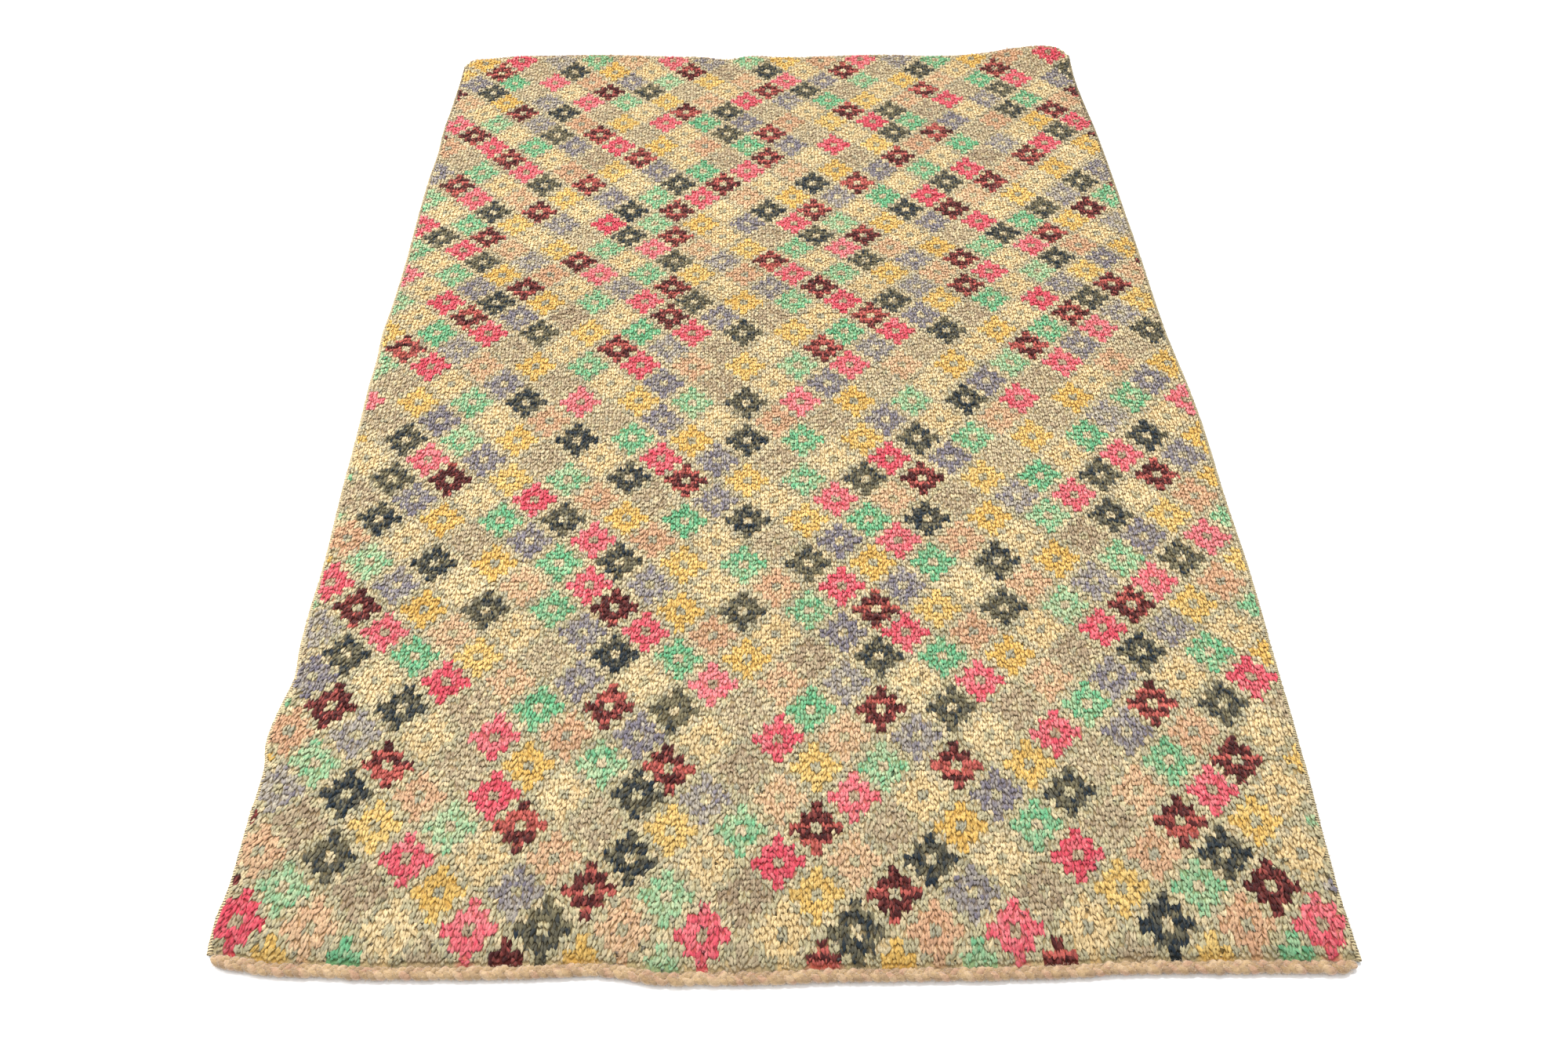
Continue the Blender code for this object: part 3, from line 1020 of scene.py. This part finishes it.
def mixed(tree, blend, factor, first, second):
    """A colour mix. Each input is a value or another node's output."""
    mix = node(tree, "ShaderNodeMix", data_type="RGBA", blend_type=blend)
    for socket, value in ((mix.inputs[0], factor), (mix.inputs[6], first), (mix.inputs[7], second)):
        if isinstance(value, bpy.types.NodeSocket):
            tree.links.new(value, socket)
        else:
            socket.default_value = value
    return mix.outputs[2]


def ranged(tree, value, low, high, to_low, to_high):
    """A value carried from one range to another."""
    ranging = node(tree, "ShaderNodeMapRange")
    for i, number in enumerate((low, high, to_low, to_high), start=1):
        ranging.inputs[i].default_value = number
    tree.links.new(value, ranging.inputs[0])
    return ranging.outputs[0]


def stored(tree, name):
    return node(tree, "ShaderNodeAttribute", attribute_name=name).outputs["Fac"]


def fibres(tree, stretch, scale, detail=3.0):
    """Fine streaky noise in the object's own coordinates."""
    place = node(tree, "ShaderNodeTexCoord").outputs["Object"]
    mapping = node(tree, "ShaderNodeMapping")
    mapping.inputs["Scale"].default_value = stretch
    noise = node(tree, "ShaderNodeTexNoise")
    noise.inputs["Scale"].default_value = scale
    noise.inputs["Detail"].default_value = detail
    tree.links.new(place, mapping.inputs[0])
    tree.links.new(mapping.outputs[0], noise.inputs["Vector"])
    return noise.outputs["Fac"]


def math(tree, operation, first, second=0.0):
    step = node(tree, "ShaderNodeMath", operation=operation)
    for socket, value in zip(step.inputs, (first, second)):
        if isinstance(value, bpy.types.NodeSocket):
            tree.links.new(value, socket)
        else:
            socket.default_value = value
    return step.outputs[0]


def bumped(tree, shader, height, strength, distance):
    bump = node(tree, "ShaderNodeBump")
    bump.inputs["Strength"].default_value = strength
    bump.inputs["Distance"].default_value = distance
    tree.links.new(height, bump.inputs["Height"])
    tree.links.new(bump.outputs[0], shader.inputs["Normal"])


def wool(name, roughness=0.9, sheen=0.15):
    """A rough wool shader with a little sheen, and its node tree."""
    material = bpy.data.materials.new(name)
    material.use_nodes = True
    tree = material.node_tree
    shader = tree.nodes["Principled BSDF"]
    shader.inputs["Roughness"].default_value = roughness
    shader.inputs["Specular IOR Level"].default_value = WOOL_SPECULAR
    shader.inputs["Sheen Weight"].default_value = sheen
    shader.inputs["Sheen Roughness"].default_value = SHEEN_ROUGHNESS
    return material, tree, shader


# Painted shade: the darkened and browned colour of the points deep between the tufts
PAINTED_SHADE_IN_PILE = (0.62, 0.53, 0.41, 1.0)
PLAIN = (1.0, 1.0, 1.0, 1.0)
# A range of values, and the range that each is carried to
TONE_OF_SHADE = (-3.0, 3.0, 0.56, 1.44)
TONE_OF_FIBRES = (0.36, 0.56, 0.70, 1.12)
OUT_OF_THE_DEEP = (0.40, 0.75, 0.0, 1.0)
ALONG_THE_LOCK = (1.0, 0.30, 0.5)
ACROSS_CLUMPS = (1.0, 0.7, 0.7)


def pile_wool(name, first, second):
    material, tree, shader = wool(name)
    colour = mixed(tree, "MIX", stored(tree, "lot"), paint_of(first), paint_of(second))
    tone = node(tree, "ShaderNodeHueSaturation")
    tree.links.new(ranged(tree, stored(tree, "shade"), *TONE_OF_SHADE), tone.inputs["Value"])
    tree.links.new(colour, tone.inputs["Color"])
    streaks = fibres(tree, ALONG_THE_LOCK, 1500.0)
    clumps = fibres(tree, ACROSS_CLUMPS, 420.0, 2.0)
    rough = math(tree, "ADD", math(tree, "MULTIPLY", streaks, 0.5), math(tree, "MULTIPLY", clumps, 0.5))
    grey = ranged(tree, rough, *TONE_OF_FIBRES)
    colour = mixed(tree, "MULTIPLY", 1.0, tone.outputs[0], grey)
    # Painted shade: the colour is darkened and browned from the crest down to the root
    sunk = math(tree, "ADD", stored(tree, "depth"), math(tree, "MULTIPLY", clumps, 0.35))
    painted_shade_of_depth = mixed(tree, "MIX", ranged(tree, sunk, *OUT_OF_THE_DEEP), PAINTED_SHADE_IN_PILE, PLAIN)
    colour = mixed(tree, "MULTIPLY", 1.0, colour, painted_shade_of_depth)
    tree.links.new(colour, shader.inputs["Base Color"])
    bumped(tree, shader, rough, 1.0, 1.5 * MM)
    return material


for letter, name, first, second in YARNS:
    pile[letter].data.materials.append(pile_wool("wool_" + name, first, second))
print("yarns dyed:", len(YARNS))

# %% [markdown]
# The ground shows its yarns from above only between the tufts, and there its colour
# is darkened and browned as painted shade. On the back each knot is a small rounded
# bead, with a thin pale line of weft between the rows. Both read the colour of the
# knots, and the back reads its own layout of knots for the beads.
# %% Materials of the ground
BROWNED_BY_SHADE = (1.0, 0.9, 0.74, 1.0)
WEFT_WOOL = (198, 178, 142)


def yarn_colour(tree):
    return node(tree, "ShaderNodeAttribute", attribute_name="yarn").outputs["Color"]


def laid_out(tree):
    """The two numbers of the piece's own layout."""
    place = node(tree, "ShaderNodeUVMap", uv_map="OFBake").outputs[0]
    parts = node(tree, "ShaderNodeSeparateXYZ")
    tree.links.new(place, parts.inputs[0])
    return parts.outputs[0], parts.outputs[1]


def shaded_ground():
    material, tree, shader = wool("wool_between_tufts")
    streaks = fibres(tree, EVEN, 900.0)
    # Painted shade: streaky and at most 0.85 of the yarn's colour, and browned below
    grey = ranged(tree, streaks, 0.3, 0.7, 0.50, 0.85)
    colour = mixed(tree, "MULTIPLY", 1.0, yarn_colour(tree), grey)
    colour = mixed(tree, "MULTIPLY", 1.0, colour, BROWNED_BY_SHADE)
    tree.links.new(colour, shader.inputs["Base Color"])
    bumped(tree, shader, streaks, 0.6, 0.8 * MM)
    return material


def knotted_back():
    material, tree, shader = wool("knotted_back")
    across, along = laid_out(tree)
    bead = math(tree, "PINGPONG", math(tree, "MULTIPLY", across, KNOTS_ACROSS / LAYOUT_SHARE), 0.5)
    row_of = math(tree, "PINGPONG", math(tree, "MULTIPLY", along, float(KNOT_ROWS)), 0.5)
    weft = ranged(tree, row_of, 0.05, 0.16, 1.0, 0.0)
    streaks = fibres(tree, EVEN, 1300.0)
    grey = ranged(tree, streaks, 0.3, 0.7, 0.66, 0.96)
    colour = mixed(tree, "MULTIPLY", 1.0, yarn_colour(tree), grey)
    colour = mixed(tree, "MIX", weft, colour, paint_of(WEFT_WOOL))
    tree.links.new(colour, shader.inputs["Base Color"])
    height = math(tree, "MULTIPLY", math(tree, "SQRT", bead), math(tree, "SQRT", row_of))
    height = math(tree, "ADD", height, math(tree, "MULTIPLY", streaks, 0.3))
    bumped(tree, shader, height, 0.8, 1.5 * MM)
    return material


knotted_ground.data.materials.append(shaded_ground())
knotted_ground.data.materials.append(knotted_back())

# %% [markdown]
# The threads on the sides lie light and dark by turns, and the plaits are undyed
# tan wool that runs to grey and to pink, the far one darkened as painted shade. Both
# have fibres that follow the thread, so their noise is stretched along it, and the
# plait reads its own layout to know which way its fibres twist.
# %% Materials of the cords
# The light and the dark thread of each side
THREADS = {
    "selvage_left": ((222, 202, 160), (58, 44, 32)),
    "selvage_right": ((200, 184, 144), (60, 48, 36)),
}

# How often a strand's fibres go round it along a plait, and its plies
TWISTS = 90.0
PLIES = 3.0


def overcast_wool(name, wraps):
    light_thread, dark_thread = THREADS[name]
    material, tree, shader = wool(name.replace("selvage", "thread"))
    along, around = laid_out(tree)
    turns = math(tree, "MULTIPLY", along, float(wraps))
    wave = math(tree, "PINGPONG", math(tree, "ADD", turns, around), 0.5)
    blotch = fibres(tree, EVEN, 160.0, 1.0)
    edge = math(tree, "ADD", wave, math(tree, "MULTIPLY", math(tree, "SUBTRACT", blotch, 0.5), 0.35))
    light = ranged(tree, edge, 0.22, 0.34, 0.0, 1.0)
    colour = mixed(tree, "MIX", light, paint_of(dark_thread), paint_of(light_thread))
    streaks = fibres(tree, (0.3, 1.0, 1.0), 1500.0)
    grey = ranged(tree, streaks, 0.3, 0.7, 0.78, 1.06)
    colour = mixed(tree, "MULTIPLY", 1.0, colour, grey)
    tree.links.new(colour, shader.inputs["Base Color"])
    bumped(tree, shader, math(tree, "ADD", wave, streaks), 0.5, 0.5 * MM)
    return material


def plait_wool(name, first, second):
    material, tree, shader = wool(name, sheen=0.5)
    along, around = laid_out(tree)
    twist = math(tree, "ADD", math(tree, "MULTIPLY", along, TWISTS), around)
    ply = math(tree, "PINGPONG", math(tree, "MULTIPLY", twist, PLIES), 0.5)
    streaks = fibres(tree, EVEN, 900.0)
    blotch = fibres(tree, EVEN, 55.0, 1.0)
    tint = ranged(tree, blotch, 0.40, 0.60, 0.0, 1.0)
    colour = mixed(tree, "MIX", tint, paint_of(first), paint_of(second))
    groove = math(tree, "ADD", streaks, math(tree, "MULTIPLY", ply, 0.3))
    grey = ranged(tree, groove, 0.35, 0.85, 0.70, 1.10)
    colour = mixed(tree, "MULTIPLY", 1.0, colour, grey)
    tree.links.new(colour, shader.inputs["Base Color"])
    bumped(tree, shader, math(tree, "ADD", streaks, ply), 0.7, 0.7 * MM)
    return material


for name, piece in overcast.items():
    long = run_of(lines[name])[-1]
    piece.data.materials.append(overcast_wool(name, int(long / WRAP)))
# The two colours that each strand of a plait runs between, and those of its hairs
TAN_WOOL_AND_PAINTED_SHADE = {
    "end_cord_front": (
        ((190, 160, 120), (164, 134, 98)),
        ((194, 166, 130), (180, 142, 114)),
        ((178, 150, 112), (156, 128, 98)),
    ),
    # The far plait's tan is darkened as painted shade
    "end_cord_back": (
        ((176, 146, 108), (150, 120, 86)),
        ((182, 150, 116), (160, 122, 96)),
        ((168, 140, 104), (146, 118, 88)),
    ),
}
LOOSE_TAN_WOOL = ((220, 192, 152), (176, 142, 104))
for name, strands in plaits.items():
    for piece, (first, second) in zip(strands, TAN_WOOL_AND_PAINTED_SHADE[name]):
        piece.data.materials.append(plait_wool("wool_of_" + piece.name, first, second))
hair_wool, hair_tree, hair_shader = wool("loose_tan_wool", sheen=0.6)
hair_tint = ranged(hair_tree, fibres(hair_tree, EVEN, 400.0), 0.4, 0.6, 0.0, 1.0)
hair_colour = mixed(hair_tree, "MIX", hair_tint, *(paint_of(colour) for colour in LOOSE_TAN_WOOL))
hair_tree.links.new(hair_colour, hair_shader.inputs["Base Color"])
for piece in hairs.values():
    piece.data.materials.append(hair_wool)
for name, piece in side_hairs.items():
    light_thread, dark_thread = THREADS[name]
    material, tree, shader = wool(piece.name + "_wool")
    tint = ranged(tree, fibres(tree, EVEN, 300.0), 0.42, 0.52, 0.0, 1.0)
    colour = mixed(tree, "MIX", tint, paint_of(dark_thread), paint_of(light_thread))
    tree.links.new(colour, shader.inputs["Base Color"])
    piece.data.materials.append(material)
print("materials:", len(bpy.data.materials))

# %% [markdown]
# The floor is plain and pale. The light is a large soft lamp high behind the rug, a
# lower one off its left side, and an even fill from all round. The lamp behind rakes
# over the leaning pile, brightens the top of each yarn end and leaves a small shadow
# in front of it, and the lower one lights the flanks that face left.
# %% Floor and light
FLOOR_SIZE = 16.0
FLOOR_COLOUR = (0.9, 0.9, 0.9, 1.0)
WHITE = (1.0, 1.0, 1.0, 1.0)
FILL_STRENGTH = 0.98
# Each lamp's name, place, aim, size and watts
LAMPS = (
    ("key", (0.8, 3.2, 7.4), (0.0, 0.0, 0.0), 2.0, 560),
    ("side", (-3.0, 0.6, 2.6), (-0.2, 0.0, 0.0), 1.6, 105),
)

floor_mesh = bmesh.new()
bmesh.ops.create_grid(floor_mesh, x_segments=1, y_segments=1, size=FLOOR_SIZE / 2)
floor = bpy.data.objects.new("floor", bpy.data.meshes.new("floor"))
floor_mesh.to_mesh(floor.data)
floor_mesh.free()
bpy.context.scene.collection.objects.link(floor)
paint = bpy.data.materials.new("pale_floor")
paint.use_nodes = True
paint_shader = paint.node_tree.nodes["Principled BSDF"]
paint_shader.inputs["Base Color"].default_value = FLOOR_COLOUR
paint_shader.inputs["Roughness"].default_value = 0.9
floor.data.materials.append(paint)


def lamp(name, place, aim, size, watts):
    """A square lamp that faces the aim."""
    light = bpy.data.objects.new(name, bpy.data.lights.new(name, "AREA"))
    light.data.size = size
    light.data.energy = watts
    light.location = place
    away = np.array(place) - np.array(aim)
    level = np.hypot(away[0], away[1])
    light.rotation_euler = (np.arctan2(level, away[2]), 0.0, np.arctan2(away[0], -away[1]))
    bpy.context.scene.collection.objects.link(light)


for row in LAMPS:
    lamp(*row)
world = bpy.data.worlds.new("studio")
world.use_nodes = True
world.node_tree.nodes["Background"].inputs["Color"].default_value = WHITE
world.node_tree.nodes["Background"].inputs["Strength"].default_value = FILL_STRENGTH
bpy.context.scene.world = world
bpy.context.scene.view_settings.view_transform = "Standard"
print("lamps:", [row[0] for row in LAMPS])

# %% [markdown]
# Last, every piece is tied to the solids: it rides with the rug and takes the place
# of the plain solid under it.
# %% Finish
for piece in list(pile.values()) + [knotted_ground]:
    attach(piece, "root")
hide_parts("rug_body")
for name, piece in overcast.items():
    for part in (piece, side_hairs[name]):
        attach(part, "root")
    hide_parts(name)
for name, strands in plaits.items():
    for piece in strands + [hairs[name]]:
        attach(piece, "root")
    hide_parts(name)
